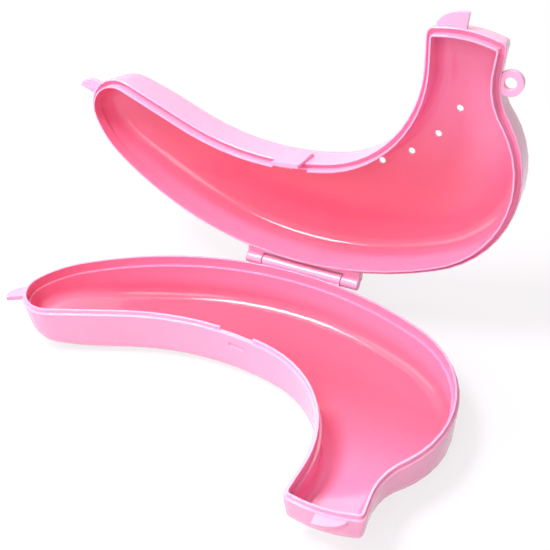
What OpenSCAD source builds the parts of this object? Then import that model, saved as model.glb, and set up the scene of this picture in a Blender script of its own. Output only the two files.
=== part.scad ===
// Hinged two-shell carrying case with a crescent outline, shown with its lid standing open.
// X runs along the hinge, Y points to the hinge side, Z is up. The origin lies on the
// resting face, below the middle of the hinge.

/* [Shells] */
// Depth of the base below the parting line
base_depth = 24.5; // [20:0.5:30]
// Depth of the lid above the parting line
lid_depth = 24; // [20:0.5:30]
// Depth of both shells under the rounded tip
tip_depth = 15.5; // [14:0.5:19]
// Depth of both shells at the stem end
stem_depth = 16.5; // [14:0.5:19]
// Wall of the base
base_wall = 2.2; // [1.6:0.1:2.4]
// Wall of the lid
lid_wall = 1.6; // [1.2:0.1:2.2]
// Outer radius of the edge between the side walls and the flat face
edge_r = 7.5; // [6:0.5:10]
// How far the side walls lean in
draft = 0.8; // [0.4:0.1:1.2]
// How far the wall of the rounded tip leans in besides
tip_lean = 3; // [2:0.1:4]
// Angle at which the lid stands open
open_angle = 100; // [0:1:180]

/* [Outline] */
// Centre of the rounded tip along the hinge
tip_x = -100.8; // [-106:0.1:-96]
// Centre of the rounded tip across the hinge
tip_y = -30.3; // [-34:0.1:-27]
// Radius of the rounded tip
tip_r = 14.7; // [13.5:0.1:16]
// Direction that the tip faces
tip_angle = 170; // [167:0.5:173]
// Turn of the tip towards the back
tip_back_angle = 13.3; // [10:0.1:17]
// Radius between the tip and the back
cheek_r = 47; // [40:0.5:55]
// Turn between the tip and the back
cheek_angle = 29; // [26:0.5:32]
// Radius of the long back curve
back_r = 160.4; // [152:0.1:170]
// Turn of the long back curve
back_angle = 62.6; // [60:0.1:65]
// Radius of the shoulder
shoulder_r = 49.7; // [46:0.1:54]
// Turn of the shoulder
shoulder_angle = 102.6; // [99:0.1:106]
// Radius of the hollow at the neck
neck_r = 27.9; // [23:0.1:33]
// Turn of the hollow at the neck
neck_angle = 41.2; // [38:0.1:44]
// Straight of the stem on the back
stem_back_len = 11.6; // [11:0.1:16]
// Turn of the tip towards the front
tip_front_angle = 121.2; // [118:0.1:125]
// Straight flank between the tip and the front curve
flank_len = 34.3; // [28:0.1:40]
// Radius of the long front curve
front_r = 124; // [115:0.5:135]
// Turn of the long front curve
front_angle = 33.6; // [30:0.1:37]
// Radius of the inner bend
bend_r = 49.8; // [45:0.1:54]
// Turn of the inner bend
bend_angle = 81.6; // [78:0.1:85]
// Straight of the stem on the front
stem_front_len = 16.7; // [13:0.1:20]
// Radius of the two stem corners
corner_r = 4; // [2:0.5:6]
// Bow of the stem end
end_bow = 1.5; // [0.5:0.1:2.5]

/* [Rim] */
// Ledge outside the lip of the base
ledge_w = 1.1; // [1:0.1:1.6]
// Thickness of the lip of the base
lip_t = 1; // [0.8:0.1:1.5]
// Height of the lip of the base
lip_h = 1.9; // [1.4:0.1:2.1]
// Thickness of the inner lip of the lid
lid_lip_t = 0.8; // [0.7:0.1:1.2]
// Drop from the ledge to the seat inside the lip
seat_drop = 3.2; // [2.4:0.1:4]
// Clearance between the two rims
rim_gap = 0.4; // [0.35:0.05:0.5]
// Chamfer on the outer rim edges
rim_edge = 0.35; // [0.2:0.05:0.4]
// Depth of the lid's thick rim behind its groove
rim_back = 0.6; // [0.4:0.1:0.9]
// Height of the slope from that rim to the wall
rim_slope = 0.9; // [0.5:0.1:1.2]
// Distance of the webs, tabs and loop from the rims
rim_clear = 0.55; // [0.5:0.05:0.8]

/* [Hinge] */
// Length over both ears of the lid
hinge_len = 58; // [54:1:66]
// Length of the barrel on the base
barrel_len = 40.6; // [34:0.2:44]
// Outer radius of the barrel and the ears
barrel_r = 2.8; // [2.4:0.1:3.4]
// Radius of the hinge pin
pin_r = 1; // [0.8:0.1:1.2]
// Clearance of the pin in the barrel
pin_gap = 0.15; // [0.1:0.05:0.2]
// Clearance of the pin in the ears
press_gap = 0.02; // [0.01:0.01:0.04]
// Clearance between the barrel and each ear
ear_gap = 0.4; // [0.3:0.05:0.6]
// Clearance between the hinge line and the walls
hinge_gap = 0.4; // [0.35:0.05:0.6]
// Clearance between the barrel and the flange of the lid behind it
flange_gap = 0.7; // [0.6:0.05:0.9]
// Height of the webs that carry the barrel and the ears
web_h = 4; // [3.6:0.1:5]
// Solid end of the right ear beyond the pin
ear_cap = 2.5; // [1.5:0.5:3]
// Chamfer on the ends of the barrel, the ears and the pin
end_edge = 0.3; // [0.2:0.05:0.4]

/* [Latch] */
// Place of the latch along the front side, from the tip
latch_at = 121.5; // [112:0.5:130]
// Gap in both lips at the latch
latch_notch = 17; // [15:0.5:20]
// Width of the latch tongue
tongue_w = 13; // [10:0.5:14]
// Thickness of the latch tongue
tongue_t = 1.4; // [1.1:0.1:1.8]
// Reach of the latch tongue past the parting line
tongue_reach = 8; // [6.5:0.5:9]
// Height of the tongue's root on the lid
tongue_root = 9; // [6:0.5:11]
// How far the barb reaches in past the rim
barb = 0.8; // [0.6:0.1:1]
// Height of the barb on the tongue
barb_h = 3; // [2:0.1:3.5]
// Width of the barb on the tongue
barb_w = 7; // [5:0.5:9]
// How far the finger edge of the tongue stands out
finger = 0.8; // [0.4:0.1:1.4]
// Clearance between the tongue and the base
latch_gap = 0.4; // [0.35:0.05:0.5]

/* [Tabs and key loop] */
// Step of the stem tab on the base, from the front corner
base_stem_step = 14.5; // [14:0.5:17]
// Step of the stem tab on the lid, from the front corner
lid_stem_step = 16.5; // [16:0.5:19]
// Width of each stem tab
stem_tab_w = 12.5; // [9:0.5:13]
// Reach of the stem tab on the base
base_tab_l = 6; // [5:0.5:9]
// Reach of the stem tab on the lid
lid_tab_l = 8; // [5:0.5:9]
// Direction of the step of the tip tab on the base
base_tip_split = 208; // [202:1:214]
// Direction of the step of the tip tab on the lid
lid_tip_split = 200; // [194:1:206]
// Width of each tip tab
tip_tab_w = 6.5; // [5:0.5:9]
// Reach of each tip tab
tip_tab_l = 8; // [5:0.5:9]
// Thickness of every tab
tab_t = 2.4; // [2:0.1:3.4]
// Gap between paired tabs
tab_gap = 0.6; // [0.4:0.1:1]
// Place of the key loop along the back side, from the stem end
loop_at = 16.5; // [14:0.5:22]
// Radius of the hole in the key loop
loop_hole_r = 2.6; // [2:0.1:3.2]
// Radial width of the key loop
loop_w = 2.7; // [2:0.1:3.5]
// Thickness of the key loop
loop_t = 3; // [2:0.1:3.4]
// Wall between the case and the loop hole
loop_root = 1.2; // [1.1:0.1:3]

/* [Vents] */
// Radius of the vent holes
vent_r = 1.6; // [1.2:0.1:2.2]
// Number of vent holes
vent_count = 4; // [2:1:4]
// Place of the first vent along the front side, from the tip
vent_at = 153.5; // [150:0.5:158]
// Spacing of the vents along the front side
vent_pitch = 12.6; // [10:0.1:13]
// Distance of the first vent from the front side
vent_in = 9.4; // [8:0.1:10]
// Growth of that distance from vent to vent
vent_lean = 2; // [1.2:0.1:2.8]

/* [Hidden] */
shell_colour = "#f9a8cf";
pin_colour = "#c9ccd1";
$fn = 48;

// Steps along each side, round each stem corner, along the stem end and over the bottom edge
steps = 46;
corner_steps = 4;
end_steps = 5;
edge_steps = 5;
min_corner_r = 0.5;
// How far added shapes run into the walls, and how far they start inside them
root = 0.6;
reach_in = 5;
// Lift of the lip gaps over the rims
notch_lift = 0.2;
// Room for cuts beyond the surfaces they open
over = 1;

// Each side of the outline runs from the tip to the stem: [radius, turn], or [0, length]
back_side = [[tip_r, -tip_back_angle], [cheek_r, -cheek_angle], [back_r, -back_angle],
             [shoulder_r, -shoulder_angle], [neck_r, neck_angle], [0, stem_back_len]];
front_side = [[tip_r, tip_front_angle], [0, flank_len], [front_r, -front_angle],
              [bend_r, -bend_angle], [0, stem_front_len]];
// Matching stations of the two sides: [step share, share of the front, share of the back]
match = [[0, 0, 0], [0.22, 0.14, 0.13], [0.4, 0.29, 0.32], [0.58, 0.61, 0.62], [0.86, 0.92, 0.9],
         [1, 1, 1]];
// Shares of the length over which the depth grows from the tip and falls to the stem
tip_rise = 0.34;
stem_fall = 0.7;

function dir(a) = [cos(a), sin(a)];
function smooth(x) = let (c = min(max(x, 0), 1)) c * c * (3 - 2 * c);
function total(v, i = 0) = i < len(v) ? v[i] + total(v, i + 1) : 0;
function piece_len(s) = s[0] == 0 ? s[1] : s[0] * abs(s[1]) * PI / 180;
function side_len(side) = total([for (s = side) piece_len(s)]);

// Place and heading after u along one arc or straight
function step_on(s, p, h, u) =
    s[0] == 0 ? [p + u * dir(h), h]
    : let (k = sign(s[1]), a = k * u / s[0] * 180 / PI)
      [p + k * s[0] * (dir(h + 90) - dir(h + a + 90)), h + a];

// Place and heading at length u along a whole side
function along(side, u, p, h, i = 0) =
    let (l = piece_len(side[i]))
    u <= l || i == len(side) - 1 ? step_on(side[i], p, h, u)
    : let (q = step_on(side[i], p, h, l)) along(side, u - l, q[0], q[1], i + 1);

apex = [tip_x, tip_y] + tip_r * dir(tip_angle);
back_len = side_len(back_side);
front_len = side_len(front_side);
function back_at(u) = along(back_side, u, apex, tip_angle - 90);
function front_at(u) = along(front_side, u, apex, tip_angle + 90);
back_end = back_at(back_len);
front_end = front_at(front_len);
end_vec = back_end[0] - front_end[0];
end_w = norm(end_vec);
end_dir = atan2(end_vec[1], end_vec[0]);

// Tangent of half the turn from each side into the stem end
front_tan = tan((end_dir - front_end[1] + 360) % 360 / 2);
back_tan = tan((back_end[1] - end_dir - 180 + 720) % 360 / 2);

shares = [for (k = [0 : steps]) k / steps];
match_front = [for (m = match) [m[0], m[1]]];
match_back = [for (m = match) [m[0], m[2]]];

// Points of the outline moved in by a, as [x, y, share of the length]
function front_points(a) =
    let (use = front_len - (a + max(corner_r - a, min_corner_r)) * front_tan)
    [for (t = shares) let (q = front_at(use * lookup(t, match_front)), w = q[0] + a * dir(q[1] + 90))
        [w[0], w[1], t]];
function back_points(a) =
    let (use = back_len - (a + max(corner_r - a, min_corner_r)) * back_tan)
    [for (t = shares) let (q = back_at(use * lookup(t, match_back)), w = q[0] + a * dir(q[1] - 90))
        [w[0], w[1], t]];
function corner(s, h, e, trim) =
    let (k = s + trim * dir(h), z = k + trim * dir(e))
    [for (j = [1 : corner_steps]) let (f = j / corner_steps,
        w = (1 - f) * (1 - f) * s + 2 * f * (1 - f) * k + f * f * z) [w[0], w[1], 1]];
function reverse(v) = [for (i = [len(v) - 1 : -1 : 0]) v[i]];
// Points between the two stem corners, on a bow that runs out at each of them
function end_points(s, e) =
    [for (j = [1 : end_steps]) let (f = j / (end_steps + 1),
        w = (1 - f) * s + f * e + end_bow * 4 * f * (1 - f) * dir(end_dir - 90)) [w[0], w[1], 1]];
function loop(a) =
    let (r = max(corner_r - a, min_corner_r), f = front_points(a), b = back_points(a),
         fe = [f[steps][0], f[steps][1]], be = [b[steps][0], b[steps][1]],
         fc = corner(fe, front_end[1], end_dir, r * front_tan),
         bc = corner(be, back_end[1], end_dir + 180, r * back_tan),
         fz = fc[corner_steps - 1], bz = bc[corner_steps - 1])
    concat(f, fc, end_points([fz[0], fz[1]], [bz[0], bz[1]]), reverse(bc),
           [for (k = [steps : -1 : 1]) b[k]]);

// Depth of a shell at a share of the length
function depth_at(t, full) =
    full - (full - tip_depth) * (1 - smooth(t / tip_rise))
         - (full - stem_depth) * smooth((t - stem_fall) / (1 - stem_fall));

// Shift of a point at a share of the depth, away from the end of the tip
function lean(p, share) =
    [p[0], p[1]] - tip_lean * share * (1 - smooth(p[2] / tip_rise)) * dir(tip_angle);

// A level ring at height z, and a ring at angle a of the bottom edge of radius r
function level_ring(inset, z) = [for (p = loop(inset)) [p[0], p[1], z]];
function edge_ring(inset, wall, r, a, full) =
    [for (p = loop(inset + r * (1 - cos(a))))
        let (z = depth_at(p[2], full) - wall - r * (1 - sin(a)), q = lean(p, z / full)) [q[0], q[1], -z]];
edge_angles = [for (j = [0 : edge_steps]) 90 * j / edge_steps];
function outer_rings(full) = [for (a = reverse(edge_angles)) edge_ring(draft, 0, edge_r, a, full)];
function inner_rings(wall, full) =
    [for (a = edge_angles) edge_ring(draft + wall, wall, edge_r - wall, a, full)];

// Closed solid through rings that run up the outside, over the rim and down the inside
module rings_solid(rings) {
    m = len(rings[0]);
    last = (len(rings) - 1) * m;
    walls = [for (i = [0 : len(rings) - 2], k = [0 : m - 1], half = [0, 1])
        let (a = i * m + k, b = i * m + (k + 1) % m)
        half == 0 ? [a, a + m, b + m] : [a, b + m, b]];
    ladder = concat([[0, 1, m - 1]],
        [for (k = [1 : steps - 1], half = [0, 1])
            half == 0 ? [k, k + 1, m - k - 1] : [k, m - k - 1, m - k]],
        [for (k = [steps + 1 : steps + 2 * corner_steps + end_steps]) [steps, k, k + 1]]);
    inside = [for (f = ladder) [last + f[2], last + f[1], last + f[0]]];
    polyhedron([for (r = rings) each r], concat(walls, ladder, inside), convexity = 8);
}

// Insets of the rim features, from the outer edge inwards
lip_out = ledge_w;
lip_in = ledge_w + lip_t;
rim_w = lip_in + rim_gap + lid_lip_t;
skirt_w = ledge_w - rim_gap;
groove_in = lip_in + rim_gap;

module base_form() {
    rings_solid(concat(outer_rings(base_depth),
        [level_ring(0, -rim_edge), level_ring(rim_edge, 0), level_ring(lip_out, 0),
         level_ring(lip_out, lip_h), level_ring(lip_in, lip_h), level_ring(lip_in, -seat_drop),
         level_ring(rim_w, -seat_drop)],
        inner_rings(base_wall, base_depth)));
}

module lid_form() {
    rings_solid(concat(outer_rings(lid_depth),
        [level_ring(0, -rim_edge), level_ring(rim_edge, 0), level_ring(skirt_w, 0),
         level_ring(skirt_w, -lip_h), level_ring(groove_in, -lip_h), level_ring(groove_in, seat_drop),
         level_ring(rim_w, seat_drop), level_ring(rim_w, -lip_h - rim_back),
         level_ring(draft + lid_wall, -lip_h - rim_back - rim_slope)],
        inner_rings(lid_wall, lid_depth)));
}

// The base and the lid as they lie on each other, closed
lid_z = base_depth + rim_gap;
module base_seat() {
    translate([0, 0, base_depth]) children();
}

module lid_seat() {
    translate([0, 0, lid_z]) children();
}

// Hinge line behind the highest point of the back
back_y = max([for (u = [0 : 1 : back_len]) back_at(u)[0][1]]);
axis_y = back_y + hinge_gap + barrel_r;
axis_z = base_depth + rim_gap / 2;
ear_x = barrel_len / 2 + ear_gap;

// Turns children about the hinge line from closed to open
module opened() {
    translate([0, axis_y, axis_z])
        rotate([-open_angle, 0, 0])
            translate([0, -axis_y, -axis_z]) children();
}

// Round bar on the hinge line with chamfered ends
module hinge_bar(r, x0, length) {
    translate([x0, axis_y, axis_z])
        rotate([0, 90, 0])
            rotate_extrude()
                polygon([[0, 0], [r - end_edge, 0], [r, end_edge], [r, length - end_edge],
                         [r - end_edge, length], [0, length]]);
}

module hinge_bore(r, x0, length) {
    translate([x0, axis_y, axis_z])
        rotate([0, 90, 0])
            cylinder(r = r, h = length);
}

// Block from the hinge line to the wall
module web(x0, length, z0) {
    translate([x0, back_y - reach_in, z0])
        cube([length, axis_y - hinge_gap - back_y + reach_in, web_h]);
}

// Cuts away what an added shape leaves inside the walls
module outside_walls() {
    difference() {
        children();
        translate([0, 0, -over])
            linear_extrude(base_depth + rim_gap + lid_depth + 2 * over)
                polygon([for (p = loop(root)) [p[0], p[1]]]);
    }
}

// Places children on the front side: X along it, Y inwards
module on_front(u) {
    q = front_at(u);
    translate([q[0][0], q[0][1], 0]) rotate([0, 0, q[1]]) children();
}

// Places children at the step of a stem tab or of a tip tab: Y inwards
module at_stem(step) {
    q = front_end[0] + step * dir(end_dir);
    translate([q[0], q[1], 0]) rotate([0, 0, end_dir]) children();
}

module at_tip(split) {
    q = [tip_x, tip_y] + tip_r * dir(split);
    translate([q[0], q[1], 0]) rotate([0, 0, split + 90]) children();
}

// Half of a rounded beak, with its flat step beside the split
module half_tab(w, l) {
    translate([tab_gap / 2, 0, 0])
        linear_extrude(tab_t)
            polygon(concat([[0, reach_in]], [for (a = [90 : -10 : 0]) [w * cos(a), -l * sin(a)]],
                           [[w, reach_in]]));
}

// Gap in a lip at the latch
module lip_gap(y0, z0, h) {
    on_front(latch_at)
        translate([-latch_notch / 2, y0, z0])
            cube([latch_notch, rim_w - y0 + over, h]);
}

// Side view of the tongue and of its barb, as depth from the rim and height over the parting line
tongue_y = -latch_gap;
tongue_out = tongue_y - tongue_t;
root_z = rim_gap + root;
module tongue_shape() {
    polygon([[tongue_out, tongue_root], [tongue_out, 2 * finger - tongue_reach],
             [tongue_out - finger, -tongue_reach], [tongue_y, -tongue_reach], [tongue_y, root_z],
             [skirt_w / 2, root_z + skirt_w / 2 - tongue_y],
             [skirt_w / 2 + draft, tongue_root - 2 * tongue_out]]);
}

module barb_shape(gap) {
    polygon([[-over / 2, -gap], [0, -gap], [barb - tongue_y + gap, barb_h / 2],
             [barb - tongue_y + gap, barb_h + gap], [-over / 2, barb_h + gap]]);
}

// Sweeps a side view across the latch
module across_latch(w) {
    on_front(latch_at)
        translate([-w / 2, 0, base_depth])
            rotate([90, 0, 90])
                linear_extrude(w) children();
}

module base_shell() {
    color(shell_colour)
        difference() {
            union() {
                base_seat() base_form();
                outside_walls() {
                    web(-barrel_len / 2, barrel_len, base_depth - rim_clear - web_h);
                    translate([0, 0, base_depth - rim_clear - tab_t]) {
                        at_stem(base_stem_step) half_tab(stem_tab_w, base_tab_l);
                        at_tip(base_tip_split) mirror([1, 0, 0]) half_tab(tip_tab_w, tip_tab_l);
                    }
                }
                hinge_bar(barrel_r, -barrel_len / 2, barrel_len);
            }
            hinge_bore(pin_r + pin_gap, -barrel_len / 2 - over, barrel_len + 2 * over);
            lip_gap(-over, base_depth + notch_lift, lip_h + over);
            across_latch(barb_w + 2 * latch_gap)
                translate([tongue_y, -tongue_reach]) barb_shape(latch_gap / 2);
        }
}

// Ears of the lid, joined by a flange that passes behind the barrel
module lid_hinge() {
    difference() {
        union() {
            outside_walls() web(-hinge_len / 2, hinge_len, lid_z + rim_clear);
            hinge_bar(barrel_r, -hinge_len / 2, hinge_len);
        }
        hinge_bore(barrel_r + flange_gap, -ear_x, 2 * ear_x);
    }
}

module lid_shell() {
    color(shell_colour)
        opened()
            difference() {
                union() {
                    difference() {
                        lid_seat() mirror([0, 0, 1]) lid_form();
                        lip_gap(groove_in - rim_gap, lid_z - seat_drop - over, seat_drop + over - notch_lift);
                    }
                    outside_walls()
                        translate([0, 0, lid_z + rim_clear]) {
                            at_stem(lid_stem_step) mirror([1, 0, 0]) half_tab(stem_tab_w, lid_tab_l);
                            at_tip(lid_tip_split) half_tab(tip_tab_w, tip_tab_l);
                            key_loop();
                        }
                    lid_hinge();
                    across_latch(tongue_w) tongue_shape();
                    across_latch(barb_w) translate([tongue_y, -tongue_reach]) barb_shape(0);
                }
                hinge_bore(pin_r + press_gap, -hinge_len / 2 - over, hinge_len + over - ear_cap);
                vents();
            }
}

// Ring outside the wall at the neck, in plan around its hole
loop_foot = back_at(back_len - loop_at);
loop_c = loop_foot[0] + (loop_root + loop_hole_r) * dir(loop_foot[1] + 90);
module key_loop() {
    foot_w = 2 * loop_hole_r + loop_w;
    foot_l = loop_root + loop_hole_r + reach_in / 2;
    translate([loop_c[0], loop_c[1], 0])
        rotate([0, 0, loop_foot[1]])
            linear_extrude(loop_t)
                difference() {
                    union() {
                        circle(r = loop_hole_r + loop_w);
                        translate([-foot_w / 2, -foot_l]) square([foot_w, foot_l]);
                    }
                    circle(r = loop_hole_r);
                }
}

module vents() {
    for (i = [0 : vent_count - 1]) {
        q = front_at(vent_at + i * vent_pitch);
        c = q[0] + (vent_in + i * vent_lean) * dir(q[1] + 90);
        translate([c[0], c[1], lid_z + lid_depth / 2])
            cylinder(r = vent_r, h = lid_depth);
    }
}

module hinge_pin() {
    color(pin_colour)
        hinge_bar(pin_r, -hinge_len / 2 + end_edge, hinge_len - 2 * end_edge - ear_cap);
}

base_shell();
lid_shell();
hinge_pin();
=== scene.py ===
"""Looks of a crescent carrying case: two glossy moulded shells, their hinge pin and a pale studio."""

import math

import bmesh
import bpy
from bpy.props import FloatProperty, FloatVectorProperty, IntProperty, PointerProperty
from mathutils import Matrix, Quaternion, Vector
from mathutils.bvhtree import BVHTree


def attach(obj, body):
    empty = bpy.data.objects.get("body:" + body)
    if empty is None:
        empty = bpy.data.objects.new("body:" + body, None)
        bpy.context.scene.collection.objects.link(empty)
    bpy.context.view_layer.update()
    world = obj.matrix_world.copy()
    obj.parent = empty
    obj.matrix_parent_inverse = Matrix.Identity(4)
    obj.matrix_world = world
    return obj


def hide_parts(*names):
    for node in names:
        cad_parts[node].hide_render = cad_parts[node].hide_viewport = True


bl_info = {
    "name": "Crescent carrying case",
    "version": (1, 0, 0),
    "blender": (4, 5, 0),
    "location": "3D View > Sidebar > Case",
    "description": "Dresses the two shells and the hinge pin of a carrying case and sets a pale studio",
    "category": "Object",
}

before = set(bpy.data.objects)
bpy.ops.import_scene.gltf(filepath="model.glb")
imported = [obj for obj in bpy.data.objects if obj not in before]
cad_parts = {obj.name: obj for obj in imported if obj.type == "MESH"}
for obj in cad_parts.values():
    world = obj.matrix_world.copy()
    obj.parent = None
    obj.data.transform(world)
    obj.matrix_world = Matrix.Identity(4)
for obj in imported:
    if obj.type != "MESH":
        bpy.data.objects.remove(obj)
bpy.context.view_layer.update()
MM = 0.001

# Points in the two hollows
BASE_HOLLOW = (0.0, 0.0, 0.010)
LID_HOLLOW = (0.0, 0.0504, 0.0528)
# A point in each opening and the direction into the shell
HINGE_AXIS = (0.0, 0.0308, 0.0247)
BASE_OPENING = ((0.0, 0.0, 0.0245), (0.0, 0.0, -1.0))
LID_OPENING = (HINGE_AXIS, (0.0, 0.985, -0.174))
# Painted shade in the hollows: their colour deepens from the rim to the floor and into the tip, and
# painted light keeps it pale at the stem
RIM_DEPTH, FLOOR_DEPTH = 8 * MM, 24 * MM
BODY_END, TIP_END = 60 * MM, 150 * MM
NECK_REACH, STEM_REACH = 45 * MM, 105 * MM
# Material slots of a shell
OUTSIDE, INSIDE = 0, 1
# Slots from a hollow's wall outwards over ledge, lip (inner face, end, outer face) and groove
# The hollows' slot paints glow: the same plastic in a hotter pink, which the lid's rim groove takes too
BASE_BANDS = (INSIDE, INSIDE, INSIDE)
LID_BANDS = (INSIDE, INSIDE, INSIDE, OUTSIDE, OUTSIDE, INSIDE)
# Corners of the triangles that lie closer than this are one point
MERGE_REACH = 0.02 * MM

# Plastic: grain of its flow marks and of its skin, and what they do to colour, gloss and slope
FLOW_SCALE, SKIN_SCALE = 22.0, 420.0
FLOW_DARK, FLOW_PALE = 0.96, 1.04
FLOW_GLOSS = 0.1
SKIN_STRENGTH, SKIN_HEIGHT = 0.06, 0.4 * MM
PLASTIC_IOR = 1.49
# Light that enters the plastic: its share, how far each colour goes in it, and the scale of that
INNER_SHARE, INNER_COLOUR, INNER_REACH = 0.35, (1.0, 0.35, 0.5), 2 * MM
# Steel: its drawn lines run along x, with their grain and what they do
LINE_STRETCH, LINE_SCALE = (0.02, 1.0, 1.0), 6000.0
LINE_DARK, LINE_PALE = 0.92, 1.05
STEEL_ROUGHNESS, LINE_GLOSS = 0.25, 0.15
LINE_STRENGTH, LINE_HEIGHT = 0.1, 0.1 * MM

# The picture's width, the camera's film and the nearest thing that it sees
IMAGE_PIXELS = 550
SENSOR_MM = 36.0
NEAR_CLIP = 0.01
# Half the floor's side; it shows the shadow up to the first distance and is white from the second on
FLOOR_REACH = 6.0
SHADOW_REACH, WHITE_REACH = 0.12, 0.42
WHITE = (1.0, 1.0, 1.0, 1.0)
# Where most lamps point
CASE_MIDDLE = (0.0, 0.0, 0.03)


class CaseFinish(bpy.types.PropertyGroup):
    """Colours and surface of the moulded plastic and the pin"""

    outside: FloatVectorProperty(
        name="Outside", description="Colour of the outer walls and the rims",
        subtype="COLOR", size=3, min=0, max=1, default=(0.95, 0.40, 0.60))
    # Painted glow: one plastic, shown hotter pink in the hollows and the lid's groove for light bounced
    # in them and let through the walls
    inside: FloatVectorProperty(
        name="Inside", description="Colour of the hollows by the rim and in the stem",
        subtype="COLOR", size=3, min=0, max=1, default=(0.90, 0.28, 0.48))
    # Painted shade: the darker colour of the hollows' floors and their tip ends
    painted_shade: FloatVectorProperty(
        name="Deep", description="Deeper colour of the hollows on their floors and towards the tip",
        subtype="COLOR", size=3, min=0, max=1, default=(0.86, 0.145, 0.24))
    pin: FloatVectorProperty(
        name="Pin", description="Colour of the steel pin",
        subtype="COLOR", size=3, min=0, max=1, default=(0.62, 0.63, 0.66))
    roughness: FloatProperty(
        name="Roughness", description="Roughness of the polished mould surface",
        subtype="FACTOR", min=0, max=1, default=0.13)
    soft_edge: FloatProperty(
        name="Soft edge", description="Radius left on the moulded edges",
        unit="LENGTH", min=0.00005, max=0.0004, default=0.00016, precision=5)
    edge_steps: IntProperty(
        name="Edge steps", description="Facets across a soft edge", min=1, max=4, default=2)
    crease_angle: FloatProperty(
        name="Crease angle", description="Faces that meet at more than this are an edge",
        subtype="ANGLE", min=0.3, max=1.2, default=math.radians(32))


class CaseStage(bpy.types.PropertyGroup):
    """Camera, floor and even light"""

    azimuth: FloatProperty(
        name="Azimuth", description="Camera's turn round the case, from the front to the right",
        subtype="ANGLE", default=math.radians(26.488))
    elevation: FloatProperty(
        name="Elevation", description="Camera's height angle",
        subtype="ANGLE", default=math.radians(39.698))
    roll: FloatProperty(
        name="Roll", description="Camera's turn about its own axis",
        subtype="ANGLE", default=math.radians(-2.359))
    distance: FloatProperty(
        name="Distance", description="Camera's distance from its target",
        unit="LENGTH", min=0.1, default=0.4245)
    slide: FloatProperty(
        name="Slide", description="Shift of the target to the right in the picture",
        unit="LENGTH", default=0.01096)
    lift: FloatProperty(
        name="Lift", description="Shift of the target up in the picture",
        unit="LENGTH", default=0.02536)
    target: FloatVectorProperty(
        name="Target", description="Point of the case that the shifts start from",
        subtype="TRANSLATION", size=3, default=(-0.0015, -0.020, 0.0264))
    focal_pixels: FloatProperty(
        name="Focal length", description="Focal length in pixels of the picture",
        subtype="PIXEL", min=100, default=960.5)
    fill: FloatProperty(
        name="Fill", description="Strength of the even light from all round",
        subtype="FACTOR", min=0, max=1, default=0.12)
    floor_bounce: FloatProperty(
        name="Floor bounce", description="Share of its colour with which the floor throws light back",
        subtype="FACTOR", min=0, max=1, default=0.7)
    floor_glow: FloatProperty(
        name="Floor glow", description="How far the camera sees the floor as plain white",
        subtype="FACTOR", min=0, max=1, default=0.75)
    floor_colour: FloatVectorProperty(
        name="Floor", description="Colour of the pale floor",
        subtype="COLOR", size=3, min=0, max=1, default=(0.90, 0.79, 0.87))


class Wire:
    """A socket with arithmetic, for shader maths written as expressions"""

    def __init__(self, shader, socket):
        self.shader = shader
        self.socket = socket

    def _math(self, operation, first, second):
        return self.shader.node("ShaderNodeMath", {"operation": operation}, {0: first, 1: second})

    def __add__(self, other):
        return self._math("ADD", self, other)

    def __radd__(self, other):
        return self._math("ADD", other, self)

    def __sub__(self, other):
        return self._math("SUBTRACT", self, other)

    def __rsub__(self, other):
        return self._math("SUBTRACT", other, self)

    def __mul__(self, other):
        return self._math("MULTIPLY", self, other)

    def __rmul__(self, other):
        return self._math("MULTIPLY", other, self)


class Shader:
    """Node tree of one material or world, with one method that adds nodes"""

    def __init__(self, owner):
        owner.use_nodes = True
        self.tree = owner.node_tree
        self.tree.nodes.clear()

    def node(self, kind, settings=None, inputs=None, output=0):
        made = self.tree.nodes.new(kind)
        for key, value in (settings or {}).items():
            setattr(made, key, value)
        for key, value in (inputs or {}).items():
            socket = made.inputs[key]
            if isinstance(value, Wire):
                self.tree.links.new(value.socket, socket)
            else:
                socket.default_value = value
        return Wire(self, made.outputs[output]) if made.outputs else None

    def object_place(self):
        return self.node("ShaderNodeTexCoord", output=3)

    def noise(self, place, scale):
        return self.node("ShaderNodeTexNoise", None, {"Vector": place, "Scale": scale})

    def bump(self, strength, distance, height):
        return self.node("ShaderNodeBump", None,
                         {"Strength": strength, "Distance": distance, "Height": height})

    def mix(self, factor, first, second):
        """A colour between two others"""
        return self.node("ShaderNodeMix", {"data_type": "RGBA"},
                         {0: factor, 6: first, 7: second}, output=2)

    def vector(self, operation, first, second):
        """A number from two vectors"""
        return self.node("ShaderNodeVectorMath", {"operation": operation},
                         {0: first, 1: second}, output=1)

    def ramp(self, value, low, high):
        """0 up to the low value, 1 from the high one on, and a smooth rise between them"""
        return self.node("ShaderNodeMapRange", {"interpolation_type": "SMOOTHSTEP"},
                         {"Value": value, "From Min": low, "From Max": high})

    def shown(self):
        """1 for rays that the camera sees, straight, in a reflection or through a clear piece"""
        path = self.node("ShaderNodeLightPath").socket.node
        camera, glossy, through = (Wire(self, path.outputs[name]) for name in (
            "Is Camera Ray", "Is Glossy Ray", "Is Transmission Ray"))
        return camera + glossy + through


def rgba(colour, gain=1.0):
    return tuple(min(channel * gain, 1.0) for channel in colour) + (1.0,)


def painted_shade_mask(shader, place, opening):
    """Share of painted shade: 1 on the floor of a hollow and towards its tip, 0 by the rim and in the
    stem
    """
    start, inward = opening
    depth = shader.vector("DOT_PRODUCT", place, inward) - Vector(start).dot(Vector(inward))
    by_rim = 1 - shader.ramp(depth, RIM_DEPTH, FLOOR_DEPTH)
    tipward = shader.vector("DOT_PRODUCT", place, (-1, 0, 0))
    in_body = 1 - shader.ramp(tipward, BODY_END, TIP_END)
    across = shader.node("ShaderNodeVectorMath", {"operation": "MULTIPLY"}, {0: place, 1: (0, 1, 1)})
    stemward = shader.vector("DISTANCE", across, HINGE_AXIS)
    off_stem = 1 - shader.ramp(stemward, NECK_REACH, STEM_REACH)
    return (1 - by_rim * in_body) * off_stem


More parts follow.
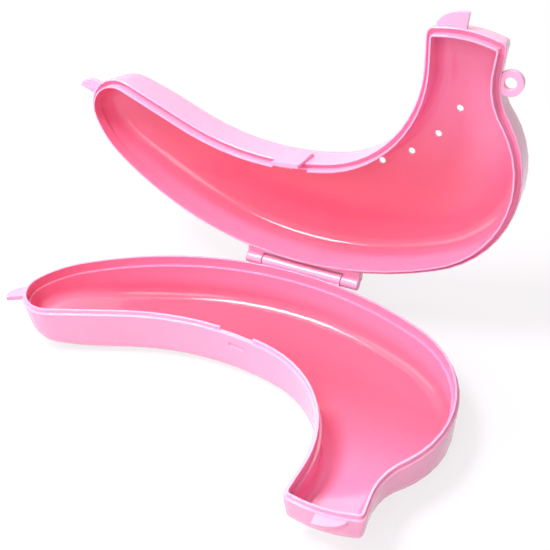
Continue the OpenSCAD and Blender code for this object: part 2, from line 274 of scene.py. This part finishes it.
def moulded_plastic(name, colour, roughness, painted_shade=None, opening=None):
    """Polished moulded plastic: faint flow marks in colour and gloss, and a fine orange-peel skin"""
    material = bpy.data.materials.new(name)
    shader = Shader(material)
    place = shader.object_place()
    flow = shader.noise(place, FLOW_SCALE)
    skin = shader.noise(place, SKIN_SCALE)
    tint = shader.mix(flow, rgba(colour, FLOW_DARK), rgba(colour, FLOW_PALE))
    # In a hollow, painted shade deepens the colour towards its floor and tip, and painted light keeps
    # it pale at the stem
    if opening:
        tint = shader.mix(painted_shade_mask(shader, place, opening), tint, rgba(painted_shade))
    plastic = shader.node("ShaderNodeBsdfPrincipled", None, {
        "Base Color": tint,
        "Roughness": roughness - FLOW_GLOSS / 2 + flow * FLOW_GLOSS,
        "IOR": PLASTIC_IOR,
        "Subsurface Weight": INNER_SHARE,
        "Subsurface Radius": INNER_COLOUR,
        "Subsurface Scale": INNER_REACH,
        "Normal": shader.bump(SKIN_STRENGTH, SKIN_HEIGHT, skin)})
    shader.node("ShaderNodeOutputMaterial", None, {"Surface": plastic})
    return material


def drawn_steel(name, colour):
    """Drawn wire: fine lines along the pin"""
    material = bpy.data.materials.new(name)
    shader = Shader(material)
    stretched = shader.node("ShaderNodeMapping", None,
                            {"Vector": shader.object_place(), "Scale": LINE_STRETCH})
    lines = shader.noise(stretched, LINE_SCALE)
    steel = shader.node("ShaderNodeBsdfPrincipled", None, {
        "Base Color": shader.mix(lines, rgba(colour, LINE_DARK), rgba(colour, LINE_PALE)),
        "Roughness": STEEL_ROUGHNESS + lines * LINE_GLOSS,
        "Metallic": 1.0,
        "Normal": shader.bump(LINE_STRENGTH, LINE_HEIGHT, lines)})
    shader.node("ShaderNodeOutputMaterial", None, {"Surface": steel})
    return material


def merged_copy(node):
    """The node's triangles joined into one clean mesh"""
    bm = bmesh.new()
    bm.from_mesh(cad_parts[node].data)
    bmesh.ops.remove_doubles(bm, verts=bm.verts, dist=MERGE_REACH)
    bmesh.ops.dissolve_degenerate(bm, edges=bm.edges, dist=MERGE_REACH)
    return bm


def spread(found, crease):
    """Adds the faces that run on smoothly from those found"""
    queue = list(found)
    while queue:
        for edge in queue.pop().edges:
            if edge.calc_face_angle(math.pi) < crease:
                for face in edge.link_faces:
                    if face not in found:
                        found.add(face)
                        queue.append(face)
    return found


def next_band(found, crease):
    """The widest smooth band of faces that borders those found"""
    border = {face for inner in found for edge in inner.edges for face in edge.link_faces} - found
    bands = []
    while border:
        bands.append(spread({border.pop()}, crease))
        border -= bands[-1]
    return max(bands, key=lambda band: sum(face.calc_area() for face in band))


def colour_bands(bm, seed, slots, crease):
    """Gives the wall nearest the seed, and each band next to it over the rim, its colour"""
    index = BVHTree.FromBMesh(bm).find_nearest(Vector(seed))[2]
    bm.faces.ensure_lookup_table()
    found = set()
    band = spread({bm.faces[index]}, crease)
    for slot in slots:
        for face in band:
            face.material_index = slot
        found |= band
        band = next_band(found, crease)


def soften(bm, finish):
    """Rounds every crease and shades the rest smoothly"""
    creases = [edge for edge in bm.edges
               if len(edge.link_faces) == 2 and edge.calc_face_angle(0.0) > finish.crease_angle]
    bmesh.ops.bevel(bm, geom=creases, offset=finish.soft_edge, offset_type="OFFSET",
                    segments=finish.edge_steps, profile=0.5, affect="EDGES", material=-1,
                    clamp_overlap=False)
    for face in bm.faces:
        face.smooth = True


def dress_shell(name, node, body, seed, opening, slots, finish):
    """A shell with soft edges, in the outside colour, its hollow in a hotter pink that paints glow,
    with painted shade towards the floor
    """
    bm = merged_copy(node)
    colour_bands(bm, seed, slots, finish.crease_angle)
    soften(bm, finish)
    mesh = bpy.data.meshes.new(name)
    bm.to_mesh(mesh)
    bm.free()
    skins = (moulded_plastic(name + "_outside", finish.outside, finish.roughness),
             moulded_plastic(name + "_inside", finish.inside, finish.roughness, finish.painted_shade, opening))
    for skin in skins:
        mesh.materials.append(skin)
    shell = bpy.data.objects.new(name, mesh)
    bpy.context.scene.collection.objects.link(shell)
    weighted = shell.modifiers.new("even_shading", "WEIGHTED_NORMAL")
    weighted.keep_sharp = True
    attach(shell, body)
    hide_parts(node)


class CASE_OT_base_shell(bpy.types.Operator):
    """Dress the base: soft moulded edges and glossy plastic"""

    bl_idname = "case.base_shell"
    bl_label = "Base shell"

    def execute(self, context):
        dress_shell("case_base", "base_shell", "base",
                    BASE_HOLLOW, BASE_OPENING, BASE_BANDS, context.scene.case_finish)
        return {"FINISHED"}


class CASE_OT_lid_shell(bpy.types.Operator):
    """Dress the lid: soft moulded edges and glossy plastic"""

    bl_idname = "case.lid_shell"
    bl_label = "Lid shell"

    def execute(self, context):
        dress_shell("case_lid", "lid_shell", "lid",
                    LID_HOLLOW, LID_OPENING, LID_BANDS, context.scene.case_finish)
        return {"FINISHED"}


class CASE_OT_hinge_pin(bpy.types.Operator):
    """Give the hinge pin its drawn steel"""

    bl_idname = "case.hinge_pin"
    bl_label = "Hinge pin"

    def execute(self, context):
        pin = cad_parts["hinge_pin"]
        pin.data.materials.clear()
        pin.data.materials.append(drawn_steel("pin_steel", context.scene.case_finish.pin))
        return {"FINISHED"}


def floor_material(colour, bounce, glow):
    """Paper with the shadow on it, which runs out to plain white, and is greyer to unseen light"""
    material = bpy.data.materials.new("pale_floor")
    shader = Shader(material)
    shown = shader.shown()
    paper = shader.node("ShaderNodeBsdfDiffuse", None, {
        "Color": shader.mix(shown, rgba(colour, bounce), rgba(colour))})
    white = shader.node("ShaderNodeEmission", None, {"Color": WHITE, "Strength": 1.0})
    distance = shader.vector("DISTANCE", shader.object_place(), (0, 0, 0))
    away = shader.ramp(distance, SHADOW_REACH, WHITE_REACH)
    surface = shader.node("ShaderNodeMixShader", None, {
        0: shown * (glow + (1 - glow) * away), 1: paper, 2: white})
    shader.node("ShaderNodeOutputMaterial", None, {"Surface": surface})
    return material


def area_lamp(name, place, size, watts, aim=CASE_MIDDLE, turn=0.0):
    """A soft lamp that faces its aim, turned about the line to it"""
    lamp = bpy.data.lights.new(name, "AREA")
    lamp.shape = "RECTANGLE"
    lamp.size, lamp.size_y = size
    lamp.energy = watts
    lit = bpy.data.objects.new(name, lamp)
    bpy.context.scene.collection.objects.link(lit)
    lit.location = place
    facing = (Vector(aim) - Vector(place)).to_track_quat("-Z", "Y")
    lit.rotation_euler = (facing @ Quaternion((0, 0, 1), turn)).to_euler()


class CASE_OT_stage(bpy.types.Operator):
    """Set the pale floor, the soft lamps and the camera"""

    bl_idname = "case.stage"
    bl_label = "Stage"

    def execute(self, context):
        stage = context.scene.case_stage
        self.floor(context, stage)
        self.light(context, stage)
        self.camera(context, stage)
        context.scene.view_settings.view_transform = "Standard"
        return {"FINISHED"}

    def floor(self, context, stage):
        bm = bmesh.new()
        bmesh.ops.create_grid(bm, x_segments=1, y_segments=1, size=FLOOR_REACH)
        mesh = bpy.data.meshes.new("floor")
        bm.to_mesh(mesh)
        bm.free()
        mesh.materials.append(floor_material(stage.floor_colour, stage.floor_bounce, stage.floor_glow))
        floor = bpy.data.objects.new("floor", mesh)
        context.scene.collection.objects.link(floor)

    def light(self, context, stage):
        world = bpy.data.worlds.new("studio")
        context.scene.world = world
        shader = Shader(world)
        background = shader.node("ShaderNodeBackground", None, {
            "Color": WHITE, "Strength": shader.shown() * (1 - stage.fill) + stage.fill})
        shader.node("ShaderNodeOutputWorld", None, {"Surface": background})
        # The key lamp is a strip across the hollow's edge, so that its streak is short and broad
        area_lamp("key_softbox", place=(-0.26, -0.22, 0.78), size=(0.2, 0.32), watts=6.0,
                  turn=math.radians(49))
        area_lamp("left_softbox", place=(-0.66, -0.34, 0.42), size=(0.6, 0.6), watts=2.8)
        area_lamp("front_softbox", place=(0.18, -0.77, 0.55), size=(0.6, 0.6), watts=4.4,
                  aim=(0.0, 0.0, 0.05))
        area_lamp("back_softbox", place=(-0.2, 0.5, 0.66), size=(0.45, 0.3), watts=1.6)
        area_lamp("top_softbox", place=(-0.1, 0.25, 0.95), size=(0.7, 0.7), watts=2.4)

    def camera(self, context, stage):
        az, el, roll = stage.azimuth, stage.elevation, stage.roll
        back = Vector((math.sin(az) * math.cos(el), -math.cos(az) * math.cos(el), math.sin(el)))
        right = Vector((math.cos(az), math.sin(az), 0.0))
        up = back.cross(right)
        place = Vector(stage.target) + back * stage.distance + right * stage.slide + up * stage.lift
        turned_right = right * math.cos(roll) + up * math.sin(roll)
        turned_up = up * math.cos(roll) - right * math.sin(roll)
        camera = bpy.data.cameras.new("photo_camera")
        camera.sensor_width = SENSOR_MM
        camera.lens = stage.focal_pixels * SENSOR_MM / IMAGE_PIXELS
        camera.clip_start = NEAR_CLIP
        seen_by = bpy.data.objects.new("photo_camera", camera)
        context.scene.collection.objects.link(seen_by)
        axes = Matrix((turned_right, turned_up, back)).transposed().to_4x4()
        seen_by.matrix_world = Matrix.Translation(place) @ axes
        context.scene.camera = seen_by


class CASE_PT_panel(bpy.types.Panel):
    """Lists the steps that dress the case"""

    bl_idname = "CASE_PT_panel"
    bl_label = "Carrying case"
    bl_space_type = "VIEW_3D"
    bl_region_type = "UI"
    bl_category = "Case"

    def draw(self, context):
        for step in STEPS:
            self.layout.operator(step.bl_idname)
        for group in (context.scene.case_finish, context.scene.case_stage):
            for key in group.__annotations__:
                self.layout.prop(group, key)


STEPS = (CASE_OT_base_shell, CASE_OT_lid_shell, CASE_OT_hinge_pin, CASE_OT_stage)
CLASSES = (CaseFinish, CaseStage) + STEPS + (CASE_PT_panel,)


def register():
    for kind in CLASSES:
        bpy.utils.register_class(kind)
    bpy.types.Scene.case_finish = PointerProperty(type=CaseFinish)
    bpy.types.Scene.case_stage = PointerProperty(type=CaseStage)


def unregister():
    del bpy.types.Scene.case_stage
    del bpy.types.Scene.case_finish
    for kind in reversed(CLASSES):
        bpy.utils.unregister_class(kind)


def main():
    register()
    bpy.ops.case.base_shell()
    bpy.ops.case.lid_shell()
    bpy.ops.case.hinge_pin()
    bpy.ops.case.stage()


if __name__ == "__main__":
    main()
